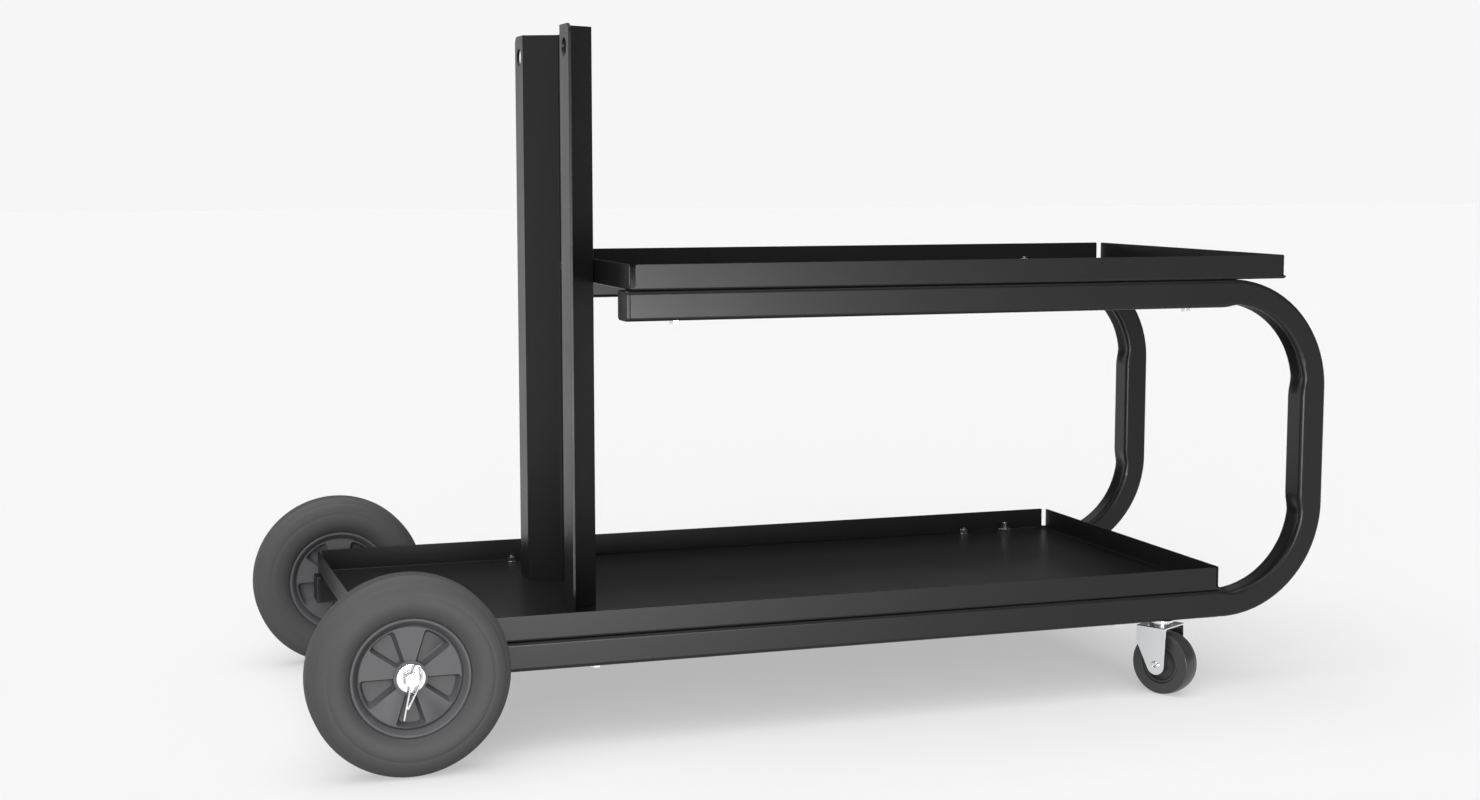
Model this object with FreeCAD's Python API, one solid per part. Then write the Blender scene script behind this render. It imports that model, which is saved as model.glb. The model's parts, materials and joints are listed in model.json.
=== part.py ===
import FreeCAD, Part
import math
import os
from FreeCAD import Placement, Rotation, Vector

# Two-tray welding cart: bent side tubes, folded trays, a gas cylinder post at the
# rear, two fixed rear wheels and two swivel casters in front.
# Millimetres. X runs from the rear wheels to the front bends, Y across, Z up.
# The origin is on the floor, under the middle of the cart.

# ---- side tubes ----
tube = 31.75                  # outside of the square tube
tube_wall = 1.6
tube_corner = 4.5             # outside corner radius
bend_radius = 112.0           # centre line of both bends
crush = 3.4                   # how far the inner wall is pressed in along a bend
crush_valley = 4.2            # extra depth of the dent in the middle of that wall
crush_lead = 10.0             # the dent starts in the straight, before the bend
crush_angle = 9.0             # and is full after this many degrees of it
frame_width = 440.0           # over the outer faces of both tubes
front_reach = 1075.5          # rear axle to the front face of the tubes
lower_rail_tail = 29.0        # lower rail behind the rear axle
upper_rail_set_back = 240.0   # rear axle to the rear end of the upper rail
upper_rail_top = 475.0

# ---- rail end plugs ----
plug_lip = 5.0
plug_round = 2.0
plug_stub = 18.0
plug_clearance = 0.15

# ---- trays ----
tray_sheet = 1.5
tray_flange = 27.0            # outside height of the upturned edges
tray_bend = 3.0               # outside radius of the fold
tray_side_relief = 5.5        # corner to the end of each long upturned edge
tray_end_relief = 4.6         # corner to the end of each short upturned edge
tray_relief_floor = 3.6       # the folds close the corner up to this height
tray_relief_round = 2.0
tray_edge_round = 2.0
lower_tray_length = 971.0
upper_tray_length = 777.5

# ---- cylinder post ----
post_sheet = 3.0
post_bend = 5.0               # inside radius of the folds
post_width = 257.0            # over both flange edges
post_mouth = 177.0            # between the two front folds
post_web = 140.0
post_depth = 40.0
post_top = 751.5
post_edge_round = 9.0
chain_hole = 19.5
chain_hole_drop = 24.0        # below the top of the post

# ---- tray and post screws (M6) ----
screw = 6.0
screw_head_flats = 10.0
screw_head_height = 4.0
screw_nut_height = 5.0
screw_washer = 12.0
screw_washer_height = 1.6
screw_stand_out = 2.0         # thread past the nut
screw_clearance = 0.3         # radial, in the sheet and tube holes
thread_clearance = 0.05       # radial, inside nuts and washers
lower_screw_rear = 205.0      # rear axle to the rear pair of screws
lower_screw_front = 815.0
upper_screw_rear = 292.0
upper_screw_front = 897.0
post_screw_spacing = 100.0

# ---- rear wheels and axle ----
wheel = 203.2
spacer_length = 17.6          # side tube to the washer inside each wheel
tyre_width = 49.0
rim_width = 36.4
rim_radius = 60.3             # outside of the rim lips
rim_lip = 3.0
tyre_seat = 53.5              # radius of the barrel under the tyre
hub_face = 26.4               # width over the raised sectors
hub_face_radius = 51.5
hub_length = 29.8
hub_radius = 17.0
hub_web = 7.4                 # left between the pockets of both sides
hub_spokes = 5
hub_edge_round = 0.8
rim_lip_round = 1.3
pocket_outer = 50.3
pocket_draft = 3.4            # how far each wall leans in down to the pocket floor
pocket_round = 3.5
bush_wall = 2.0
axle = 15.0
axle_flats = 13.4             # hexagonal ends of the axle
axle_end = 10.0               # length of each hexagonal end
axle_washer = 28.8
axle_washer_height = 2.0
spacer_wall = 2.5
running = 0.08                # radial clearance of turning fits
side_play = 0.3               # axial clearance of turning parts
seat_gap = 0.05               # radial clearance of pressed and moulded seats

# ---- hairpin cotters ----
cotter_wire = 2.2
cotter_tilt = 11.7            # lean of the straight leg from vertical, degrees
cotter_leg = 41.5             # straight leg below the axle centre
cotter_rise = 10.8            # loop centre above the axle centre
cotter_loop = 3.5             # radius of the loop, centre line
cotter_bow = 26.4             # radius of the bowed leg, centre line
cotter_bow_out = 25.0         # the bowed leg leaves the loop at this angle
cotter_bow_in = 14.8          # and comes back at this one
cotter_tail = 25.0            # straight end of the bowed leg
cotter_stand_off = 4.6        # cotter centre line outside the washer

# ---- casters ----
caster_wheel = 72.0
caster_width = 24.0
caster_crown = 1.3            # rise of the tread from its edges to its middle
caster_core = 44.8
caster_core_lip = 3.8
caster_side_play = 0.3        # wheel hub to each fork leg
caster_trail = 6.5            # swivel axis to wheel axis
caster_set_back = 201.2       # swivel axis behind the front face of the tubes
caster_turn = -60.0           # direction of the trail at rest, degrees from +X
fork_sheet = 2.0
fork_width = 44.0             # over both legs
fork_bend = 3.0
fork_length = 37.0            # of the top plate, along the legs
fork_skirt = 19.0             # full-length part of the legs, below the top
fork_eye = 11.0               # radius of the leg ends
race = 30.0
race_height = 2.6
race_boss = 25.0
race_boss_height = 2.6
race_gap = 0.4
stem = 10.0
stem_stand_out = 8.0          # stem past its nut
stem_nut_flats = 16.0
stem_nut_height = 5.0
king_pin = 8.0
king_head = 14.0
king_head_height = 2.4
caster_sleeve = 10.0
caster_bolt = 6.0
caster_bolt_head = 9.6
caster_bolt_head_height = 2.2
caster_bolt_cup = 5.0         # width of the hollow in the head
caster_bolt_cup_depth = 0.9

# ---- places worked out from the sizes above ----
axle_x = (wheel / 2 - front_reach) / 2
axle_z = wheel / 2
wheel_track = frame_width + 2 * (spacer_length + axle_washer_height + side_play) + hub_length
front_x = axle_x + front_reach
rail_y = frame_width / 2 - tube / 2
lower_rail_bottom = axle_z - tube / 2
lower_rail_top = axle_z + tube / 2
lower_rear_x = axle_x - lower_rail_tail
upper_rear_x = axle_x + upper_rail_set_back
bend_outer = bend_radius + tube / 2
bend_x = front_x - bend_outer
top_bend_z = upper_rail_top - bend_outer
low_bend_z = lower_rail_bottom + bend_outer
lower_floor = lower_rail_top + tray_sheet
upper_floor = upper_rail_top + tray_sheet
caster_x = front_x - caster_set_back
SIDES = {"right": -1, "left": 1}


# ---- small helpers ----
def box(x0, x1, y0, y1, z0, z1):
    return Part.makeBox(x1 - x0, y1 - y0, z1 - z0, Vector(x0, y0, z0))


def rod(radius, start, end):
    along = end - start
    return Part.makeCylinder(radius, along.Length, start, along)


def ring(outer, inner, start, end):
    return rod(outer, start, end).cut(rod(inner, start, end))


def hexagon(flats, start, end, turn=0.0):
    along = end - start
    corner = flats / math.sqrt(3)
    points = [
        Vector(corner * math.cos(math.radians(60 * k)), corner * math.sin(math.radians(60 * k)), 0)
        for k in range(7)
    ]
    prism = Part.Face(Part.makePolygon(points)).extrude(Vector(0, 0, along.Length))
    prism.rotate(Vector(), Vector(0, 0, 1), turn)
    prism.Placement = Placement(start, Rotation(Vector(0, 0, 1), along)).multiply(prism.Placement)
    return prism


def arc(start, middle, end):
    return Part.Arc(start, middle, end).toShape()


def line(start, end):
    return Part.LineSegment(start, end).toShape()


def rounded_wire(points, radii):
    """Open wire through points, with an arc of the given radius at each inner one."""
    edges = []
    last = points[0]
    for before, corner, after, radius in zip(points, points[1:], points[2:], radii):
        back = (before - corner).normalize()
        ahead = (after - corner).normalize()
        half = back.getAngle(ahead) / 2
        cut = radius / math.tan(half)
        centre = corner + (back + ahead).normalize() * (radius / math.sin(half))
        start = corner + back * cut
        end = corner + ahead * cut
        middle = centre + (corner - centre).normalize() * radius
        if (start - last).Length > 1e-6:
            edges.append(line(last, start))
        edges.append(arc(start, middle, end))
        last = end
    edges.append(line(last, points[-1]))
    return edges


def offset_path(points, distance):
    """The path moved sideways in the XY plane, mitred at its corners."""
    up = Vector(0, 0, 1)
    normals = [(b - a).normalize().cross(up) for a, b in zip(points, points[1:])]
    moved = [points[0] + normals[0] * distance]
    for corner, n0, n1 in zip(points[1:], normals, normals[1:]):
        moved.append(corner + (n0 + n1) * (distance / (1 + n0.dot(n1))))
    moved.append(points[-1] + normals[-1] * distance)
    return moved


def folded_strip(points, sheet, inside):
    """Face of a folded sheet; the path is its face on the side away from the offset."""
    other = offset_path(points, sheet)
    turns = [
        (b - a).cross(c - b).z for a, b, c in zip(points, points[1:], points[2:])
    ]
    radii = [inside + sheet if turn > 0 else inside for turn in turns]
    other_radii = [inside if turn > 0 else inside + sheet for turn in turns]
    first = rounded_wire(points, radii)
    second = rounded_wire(other[::-1], other_radii[::-1])
    ends = [line(points[-1], other[-1]), line(other[0], points[0])]
    return Part.Face(Part.Wire(Part.__sortEdges__(first + second + ends)))


def revolved(profile):
    """Solid of revolution about Y from (radius, y) points."""
    points = [Vector(radius, y, 0) for radius, y in profile]
    face = Part.Face(Part.makePolygon(points + points[:1]))
    return face.revolve(Vector(), Vector(0, 1, 0), 360)


def fuse(shapes):
    whole = shapes[0].multiFuse(shapes[1:]) if len(shapes) > 1 else shapes[0]
    return whole.removeSplitter()


def moved(shape, offset):
    copy = shape.copy()
    copy.translate(offset)
    return copy


def mirrored(shape):
    return shape.mirror(Vector(), Vector(0, 1, 0))


def on_side(shape, sign):
    """The shape is built on the right; the left one is its mirror image."""
    return shape if sign < 0 else mirrored(shape)


# ---- side tubes ----
def tube_section(origin, radial, depth, inset):
    """Closed section; depth 0 is the square tube, 1 the pressed-in one."""
    half = tube / 2 - inset
    corner = max(tube_corner - inset, 0.6)
    flat = half - corner
    low = -half + crush * depth
    diagonal = corner * math.sqrt(0.5)

    def at(a, b):
        return origin + radial * a + Vector(0, b, 0)

    valley = Part.BSplineCurve()
    steps = [-1.0, -0.5, 0.0, 0.5, 1.0]
    heights = [(1 + math.cos(math.pi * step)) / 2 for step in steps]
    valley.interpolate([
        at(low + crush_valley * depth * height, -step * flat) for step, height in zip(steps, heights)
    ])
    return Part.Wire([
        line(at(half, -flat), at(half, flat)),
        arc(at(half, flat), at(flat + diagonal, flat + diagonal), at(flat, half)),
        line(at(flat, half), at(low + corner, half)),
        arc(at(low + corner, half), at(low + corner - diagonal, flat + diagonal), at(low, flat)),
        valley.toShape(),
        arc(at(low, -flat), at(low + corner - diagonal, -flat - diagonal), at(low + corner, -half)),
        line(at(low + corner, -half), at(flat, -half)),
        arc(at(flat, -half), at(flat + diagonal, -flat - diagonal), at(half, -flat)),
    ])


def straight(start, end, radial, inset):
    return Part.Face(tube_section(start, radial, 0, inset)).extrude(end - start)


def dent(centre, radial, ahead, inset):
    """Where the dent comes in: the last of a straight and the first of its bend.

    radial points from the bend centre to the tube, ahead along the tube into the bend.
    """
    on_arc = math.radians(crush_angle) * bend_radius
    sections = []
    for run in (-crush_lead, -crush_lead / 2, 0.0, on_arc / 3, on_arc * 2 / 3, on_arc):
        share = (run + crush_lead) / (on_arc + crush_lead)
        depth = share * share * (3 - 2 * share)
        turn = max(run, 0.0) / bend_radius
        away = radial * math.cos(turn) + ahead * math.sin(turn)
        origin = centre + away * bend_radius + ahead * min(run, 0.0)
        sections.append(tube_section(origin, away, depth, inset))
    return Part.makeLoft(sections, True, False)


def bend(centre, radial, ahead, inset):
    """Quarter bend with the full dent, and its two ends where the dent fades."""
    turn = math.radians(crush_angle)
    start = radial * math.cos(turn) + ahead * math.sin(turn)
    face = Part.Face(tube_section(centre + start * bend_radius, start, 1, inset))
    middle = face.revolve(centre, radial.cross(ahead), 90 - 2 * crush_angle)
    return [dent(centre, radial, ahead, inset), middle, dent(centre, ahead, radial, inset)]


def tube_path(inset, overrun):
    """The whole bent run of one side tube, on the plane Y = 0."""
    up, out, down = Vector(0, 0, 1), Vector(1, 0, 0), Vector(0, 0, -1)
    top_z = upper_rail_top - tube / 2
    handle_x = front_x - tube / 2
    lead = crush_lead
    upper = bend(Vector(bend_x, 0, top_bend_z), up, out, inset)
    lower = bend(Vector(bend_x, 0, low_bend_z), out, down, inset)
    return fuse([
        straight(Vector(upper_rear_x - overrun, 0, top_z), Vector(bend_x - lead, 0, top_z), up, inset),
        *upper,
        straight(Vector(handle_x, 0, top_bend_z - lead), Vector(handle_x, 0, low_bend_z + lead), out, inset),
        *lower,
        straight(Vector(bend_x - lead, 0, axle_z), Vector(lower_rear_x - overrun, 0, axle_z), down, inset),
    ])


def side_frame():
    frame = tube_path(0, 0).cut(tube_path(tube_wall, 1.0))
    frame.translate(Vector(0, -rail_y, 0))
    hole = screw / 2 + screw_clearance
    for x in (lower_screw_rear, lower_screw_front):
        frame = frame.cut(upright(hole, axle_x + x, lower_rail_bottom - 1, lower_rail_top + 1))
    for x in (upper_screw_rear, upper_screw_front):
        frame = frame.cut(upright(hole, axle_x + x, upper_rail_top - tube - 1, upper_rail_top + 1))
    frame = frame.cut(upright(stem / 2 + screw_clearance, caster_x,
                              lower_rail_bottom - 1, lower_rail_top + 1))
    axle_hole = rod(axle / 2 + thread_clearance, Vector(axle_x, -frame_width, axle_z),
                    Vector(axle_x, 0, axle_z))
    return frame.cut(axle_hole)


def upright(radius, x, z0, z1):
    """Vertical rod on the middle line of the right-hand rail."""
    return rod(radius, Vector(x, -rail_y, z0), Vector(x, -rail_y, z1))


# ---- rail end plugs ----
def rail_plug(x, z):
    half = tube / 2
    lip = box(x - plug_lip, x, -half, half, -half, half)
    lengthwise = [e for e in lip.Edges if abs(e.tangentAt(e.FirstParameter).x) > 0.9]
    lip = lip.makeFillet(tube_corner, lengthwise)
    outer = [e for e in lip.Edges if abs(e.BoundBox.XMax - (x - plug_lip)) < 1e-6]
    lip = lip.makeFillet(plug_round, outer)
    inner = half - tube_wall - plug_clearance
    stub = box(x, x + plug_stub, -inner, inner, -inner, inner)
    lengthwise = [e for e in stub.Edges if abs(e.tangentAt(e.FirstParameter).x) > 0.9]
    stub = stub.makeFillet(tube_corner - tube_wall, lengthwise)
    hollow = inner - 2.5
    stub = stub.cut(box(x + 2, x + plug_stub + 1, -hollow, hollow, -hollow, hollow))
    plug = lip.fuse(stub).removeSplitter()
    plug.translate(Vector(0, -rail_y, z))
    return plug


# ---- trays ----
def rounded_tub(length, width, z0, radius):
    """Block from z0 upwards, its bottom edges rounded as the folds are."""
    block = box(-length / 2, length / 2, -width / 2, width / 2, z0, tray_flange)
    return block.makeFillet(radius, [e for e in block.Edges if e.BoundBox.ZMax < z0 + 1e-6])


def corner_relief(length):
    """What is cut away at one corner, so that both edges fold up without meeting."""
    x, y = length / 2, frame_width / 2
    cutter = box(x - tray_side_relief, x + 1, y - tray_end_relief, y + 1,
                 tray_relief_floor, tray_flange + 1)
    feet = []
    for edge in cutter.Edges:
        middle = edge.CenterOfMass
        inner = abs(middle.x - x + tray_side_relief) < 1e-6 or abs(middle.y - y + tray_end_relief) < 1e-6
        if inner and abs(middle.z - tray_relief_floor) < 1e-6:
            feet.append(edge)
    return cutter.makeFillet(tray_relief_round, feet)


def tray(x0, length, z0):
    """Folded sheet with four upturned edges, open at the corners."""
    shell = rounded_tub(length, frame_width, 0, tray_bend).cut(
        rounded_tub(length - 2 * tray_sheet, frame_width - 2 * tray_sheet, tray_sheet,
                    tray_bend - tray_sheet))
    relief = corner_relief(length)
    reliefs = [relief, mirrored(relief)]
    reliefs += [cutter.mirror(Vector(), Vector(1, 0, 0)) for cutter in reliefs]
    shell = shell.cut(reliefs)
    # the upper corners of the four edges run across the sheet
    corners = []
    for edge in shell.Edges:
        at_top = abs(edge.CenterOfMass.z - tray_flange) < 1e-6
        if at_top and abs(edge.Length - tray_sheet) < 1e-6:
            corners.append(edge)
    shell = shell.makeFillet(tray_edge_round, corners)
    shell.translate(Vector(x0 + length / 2, 0, z0))
    return shell


def screw_pairs(xs):
    return [Vector(axle_x + x, sign * rail_y, 0) for x in xs for sign in SIDES.values()]


def with_holes(shape, places, radius, z0, z1):
    for place in places:
        shape = shape.cut(rod(radius, place + Vector(0, 0, z0), place + Vector(0, 0, z1)))
    return shape


def lower_tray():
    shape = tray(lower_rear_x, lower_tray_length, lower_rail_top)
    low, high = lower_rail_top - 1, lower_floor + 1
    shape = with_holes(shape, screw_pairs((lower_screw_rear, lower_screw_front)),
                       screw / 2 + screw_clearance, low, high)
    return with_holes(shape, screw_pairs((caster_x - axle_x,)), stem / 2 + screw_clearance, low, high)


def upper_tray():
    shape = tray(upper_rear_x, upper_tray_length, upper_rail_top)
    shape = with_holes(shape, screw_pairs((upper_screw_rear, upper_screw_front)),
                       screw / 2 + screw_clearance, upper_rail_top - 1, upper_floor + 1)
    for place in post_screw_places():
        shape = shape.cut(rod(screw / 2 + screw_clearance, place - Vector(1, 0, 0),
                              place + Vector(tray_sheet + 1, 0, 0)))
    return shape


# ---- cylinder post ----
def post_screw_places():
    """Where the screws cross the rear face of the upper tray."""
    z = upper_rail_top + tray_flange / 2
    return [Vector(upper_rear_x, sign * post_screw_spacing / 2, z) for sign in (-1, 1)]


def cylinder_post():
    face_x = upper_rear_x - post_depth
    path = [
        Vector(face_x, post_width / 2, 0),
        Vector(face_x, post_mouth / 2, 0),
        Vector(upper_rear_x - post_sheet, post_web / 2, 0),
        Vector(upper_rear_x - post_sheet, -post_web / 2, 0),
        Vector(face_x, -post_mouth / 2, 0),
        Vector(face_x, -post_width / 2, 0),
    ]
    height = post_top - lower_floor
    post = folded_strip(path, -post_sheet, post_bend).extrude(Vector(0, 0, height))
    post.translate(Vector(0, 0, lower_floor))
    corner_round = []
    for edge in post.Edges:
        box_ = edge.BoundBox
        at_top = box_.ZMin > post_top - 1e-6
        at_edge = abs(abs(edge.CenterOfMass.y) - post_width / 2) < 1e-6
        if at_top and at_edge:
            corner_round.append(edge)
    post = post.makeFillet(post_edge_round, corner_round)
    hole_y = (post_width + post_mouth) / 4
    for sign in (-1, 1):
        start = Vector(face_x - 1, sign * hole_y, post_top - chain_hole_drop)
        post = post.cut(rod(chain_hole / 2, start, start + Vector(post_sheet + 2, 0, 0)))
    for place in post_screw_places():
        post = post.cut(rod(screw / 2 + screw_clearance, place - Vector(post_sheet + 1, 0, 0),
                            place + Vector(1, 0, 0)))
    return post


# ---- screws ----
def hex_screw(under_head, along, length):
    """Hexagon screw; under_head is the seat, along the unit direction of its thread."""
    head = hexagon(screw_head_flats, under_head - along * screw_head_height, under_head)
    return head.fuse(rod(screw / 2, under_head, under_head + along * length))


def washer(place, along):
    return ring(screw_washer / 2, screw / 2 + thread_clearance, place,
                place + along * screw_washer_height)


def hex_nut(place, along):
    body = hexagon(screw_head_flats, place, place + along * screw_nut_height)
    return body.cut(rod(screw / 2 + thread_clearance, place, place + along * screw_nut_height))


def screw_set(name, places, along, grip):
    """Nodes for one group: screws from below or behind, washers and nuts on the far side."""
    length = grip + screw_washer_height + screw_nut_height + screw_stand_out
    return {
        name + "_screws": [hex_screw(place, along, length) for place in places],
        name + "_washers": [washer(place + along * grip, along) for place in places],
        name + "_nuts": [
            hex_nut(place + along * (grip + screw_washer_height), along) for place in places
        ],
    }


def fasteners():
    up = Vector(0, 0, 1)
    lower = [p + up * lower_rail_bottom for p in screw_pairs((lower_screw_rear, lower_screw_front))]
    upper = [p + up * (upper_rail_top - tube)
             for p in screw_pairs((upper_screw_rear, upper_screw_front))]
    ahead = Vector(1, 0, 0)
    post = [p - ahead * post_sheet for p in post_screw_places()]
    nodes = screw_set("lower_tray", lower, up, tube + tray_sheet)
    nodes.update(screw_set("upper_tray", upper, up, tube + tray_sheet))
    nodes.update(screw_set("post", post, ahead, post_sheet + tray_sheet))
    return nodes


# ---- rear axle ----
hub_outer_y = wheel_track / 2 + hub_length / 2
hub_inner_y = wheel_track / 2 - hub_length / 2
washer_y = hub_outer_y + side_play
cotter_y = washer_y + axle_washer_height + cotter_stand_off


def across(y):
    return Vector(axle_x, y, axle_z)


def leg_direction():
    lean = math.radians(cotter_tilt)
    return Vector(-math.sin(lean), 0, -math.cos(lean))


def rear_axle():
    journal = washer_y + axle_washer_height
    end = journal + axle_end
    shape = rod(axle / 2, across(-journal), across(journal))
    for sign in (-1, 1):
        tip = hexagon(axle_flats, across(sign * journal), across(sign * end), 30)
        shape = shape.fuse(tip.common(rod(axle / 2, across(sign * journal), across(sign * end))))
        reach = leg_direction() * axle
        shape = shape.cut(rod(cotter_wire / 2 + 2 * thread_clearance,
                              across(sign * cotter_y) - reach, across(sign * cotter_y) + reach))
    return shape.removeSplitter()


def axle_washers():
    bore = axle / 2 + thread_clearance
    outside = [ring(axle_washer / 2, bore, across(s * washer_y), across(s * (washer_y + axle_washer_height)))
               for s in (-1, 1)]
    inner = hub_inner_y - side_play
    inside = [ring(axle_washer / 2, bore, across(s * (inner - axle_washer_height)), across(s * inner))
              for s in (-1, 1)]
    return outside + inside


def axle_spacers():
    start = frame_width / 2
    end = hub_inner_y - side_play - axle_washer_height
    bore = axle / 2 + thread_clearance
    return [ring(bore + spacer_wall, bore, across(s * start), across(s * end)) for s in (-1, 1)]


def hairpin():
    """Bent wire in the plane of one washer, on the right-hand end of the axle."""
    down = leg_direction()
    out = Vector(-down.z, 0, down.x)
    centre = across(-cotter_y)

    def at(u, v):
        return centre + down * u + out * v

    loop_u, loop_v = -cotter_rise, cotter_loop
    leave = math.radians(cotter_bow_out)
    back = math.radians(cotter_bow_in)

    def on_loop(angle):
        return at(loop_u - cotter_loop * math.sin(angle), loop_v + cotter_loop * math.cos(angle))

    bow_u = loop_u - cotter_loop * math.sin(leave) + cotter_bow * math.sin(leave)
    bow_v = loop_v + cotter_loop * math.cos(leave) - cotter_bow * math.cos(leave)

    def on_bow(angle):
        return at(bow_u - cotter_bow * math.sin(angle), bow_v + cotter_bow * math.cos(angle))

    tail = on_bow(-back) + (down * math.cos(back) - out * math.sin(back)) * cotter_tail
    path = Part.Wire([
        line(at(cotter_leg, 0), at(loop_u, 0)),
        arc(at(loop_u, 0), on_loop((leave + math.pi) / 2), on_loop(leave)),
        arc(on_loop(leave), on_bow((leave - back) / 2), on_bow(-back)),
        line(on_bow(-back), tail),
    ])
    section = Part.Wire(Part.makeCircle(cotter_wire / 2, at(cotter_leg, 0), down))
    return path.makePipeShell([section], True, False)


# ---- rear wheels, modelled about the origin with the axle along Y ----
def rear_hub():
    lip = rim_width / 2
    face = hub_face / 2
    groove = face - 3.2
    half = [
        (hub_radius, hub_length / 2),
        (hub_radius, face),
        (hub_face_radius, face),
        (hub_face_radius, groove),
        (tyre_seat - 1.5, groove),
        (rim_radius - rim_lip, lip),
        (rim_radius, lip),
        (rim_radius, lip - 2.0),
        (tyre_seat, groove - 2.0),
    ]
    bore = axle / 2 + running + bush_wall + seat_gap
    profile = [(bore, hub_length / 2)] + half
    profile += [(radius, -y) for radius, y in reversed(half)] + [(bore, -hub_length / 2)]
    hub = revolved(profile)
    hub = hub.makeFillet(rim_lip_round, circles(hub, lip, (rim_radius - rim_lip, rim_radius)))
    hub = hub.makeFillet(hub_edge_round, circles(hub, face, (hub_face_radius,)))
    cutters = []
    for k in range(hub_spokes):
        for sign in (-1, 1):
            cutter = pocket(sign)
            cutter.rotate(Vector(), Vector(0, 1, 0), 360.0 / hub_spokes * k)
            cutters.append(cutter)
    return hub.cut(cutters)


def circles(shape, height, radii):
    """Full circles about Y at plus and minus height, with one of the radii."""
    found = []
    for edge in shape.Edges:
        if edge.Curve.TypeId != "Part::GeomCircle":
            continue
        level = abs(abs(edge.Curve.Center.y) - height) < 1e-6
        if level and any(abs(edge.Curve.Radius - radius) < 1e-6 for radius in radii):
            found.append(edge)
    return found


def pocket(sign):
    """Drafted sector between two spokes, from the boss outwards, open to one side."""
    spread = math.pi / hub_spokes / 2
    floor = hub_web / 2
    depth = hub_face / 2 - floor

    def outline(y):
        lean = pocket_draft * (1 - (y - floor) / depth)
        outer = pocket_outer - lean
        inner_half = spread - lean / hub_radius
        outer_half = spread - lean / outer

        def at(radius, angle):
            return Vector(radius * math.sin(angle), sign * y, -radius * math.cos(angle))

        return Part.Wire([
            line(at(hub_radius, -inner_half), at(outer, -outer_half)),
            arc(at(outer, -outer_half), at(outer, 0), at(outer, outer_half)),
            line(at(outer, outer_half), at(hub_radius, inner_half)),
            arc(at(hub_radius, inner_half), at(hub_radius, 0), at(hub_radius, -inner_half)),
        ])

    block = Part.makeLoft([outline(floor), outline(hub_face / 2 + 1)], True, True)
    outer_edges = []
    for edge in block.Edges:
        middle = edge.CenterOfMass
        slanted = edge.BoundBox.YLength > depth / 2
        if slanted and math.hypot(middle.x, middle.z) > (hub_radius + pocket_outer) / 2:
            outer_edges.append(edge)
    return block.makeFillet(pocket_round, outer_edges)


def hub_bush():
    bore = axle / 2 + running
    half = hub_length / 2
    return ring(bore + bush_wall, bore, Vector(0, -half, 0), Vector(0, half, 0))


def rear_tyre():
    radius = wheel / 2
    wide = tyre_width / 2
    lip = rim_width / 2
    seat = tyre_seat + seat_gap
    over_lip = rim_radius + seat_gap
    groove = hub_face / 2 - 3.2
    side = Part.BSplineCurve()
    side.interpolate([
        Vector(over_lip, lip - 0.6, 0),
        Vector(rim_radius + 5.0, wide - 2.6, 0),
        Vector(rim_radius + 16.0, wide, 0),
        Vector(radius - 13.0, wide - 1.6, 0),
        Vector(radius - 6.0, wide - 5.0, 0),
    ])
    shoulder = [
        (radius - 6.0, wide - 5.0), (radius - 6.6, wide - 6.2), (radius - 3.4, wide - 8.4),
        (radius - 4.2, wide - 9.6), (radius - 1.4, wide - 12.4), (radius - 2.6, wide - 13.4),
        (radius - 2.4, wide - 14.6), (radius, wide - 15.6), (radius, 2.2), (radius - 1.6, 1.2),
    ]
    bead = [(over_lip, lip - 0.6), (over_lip, lip - 2.0), (seat, groove - 2.0)]

    def chain(points, sign):
        vectors = [Vector(r, sign * y, 0) for r, y in points]
        return [line(a, b) for a, b in zip(vectors, vectors[1:])]

    upper = [side.toShape()] + chain(shoulder, 1) + chain(bead, 1)
    lower = [e.mirror(Vector(), Vector(0, 1, 0)) for e in upper]
    last, first = shoulder[-1], bead[-1]
    join = [line(Vector(last[0], last[1], 0), Vector(last[0], -last[1], 0)),
            line(Vector(first[0], first[1], 0), Vector(first[0], -first[1], 0))]
    edges = Part.__sortEdges__(upper + lower + join)
    return Part.Face(Part.Wire(edges)).revolve(Vector(), Vector(0, 1, 0), 360)


# ---- casters: swivel axis on Z, trail towards +X, wheel axle along Y ----
caster_axle_z = caster_wheel / 2
race_z = lower_rail_bottom - race_height
fork_z = race_z - race_gap - race_boss_height      # top face of the fork plate


def caster_stem():
    """Threaded stem with its upper race and the riveted king pin below."""
    top = lower_floor + stem_nut_height + stem_stand_out
    under = fork_z - fork_sheet - 0.1
    parts = [
        rod(stem / 2, Vector(0, 0, lower_rail_bottom), Vector(0, 0, top)),
        rod(race / 2, Vector(0, 0, race_z), Vector(0, 0, lower_rail_bottom)),
        rod(king_pin / 2, Vector(0, 0, under), Vector(0, 0, race_z)),
        rod(king_head / 2, Vector(0, 0, under - king_head_height), Vector(0, 0, under)),
    ]
    return fuse(parts)


def stem_nut():
    low, high = Vector(0, 0, lower_floor), Vector(0, 0, lower_floor + stem_nut_height)
    return hexagon(stem_nut_flats, low, high).cut(rod(stem / 2 + thread_clearance, low, high))


def caster_race():
    """Raised lower race, seated on the fork plate."""
    low, high = Vector(0, 0, fork_z), Vector(0, 0, fork_z + race_boss_height)
    return ring(race_boss / 2, king_pin / 2 + running, low, high)


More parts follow.
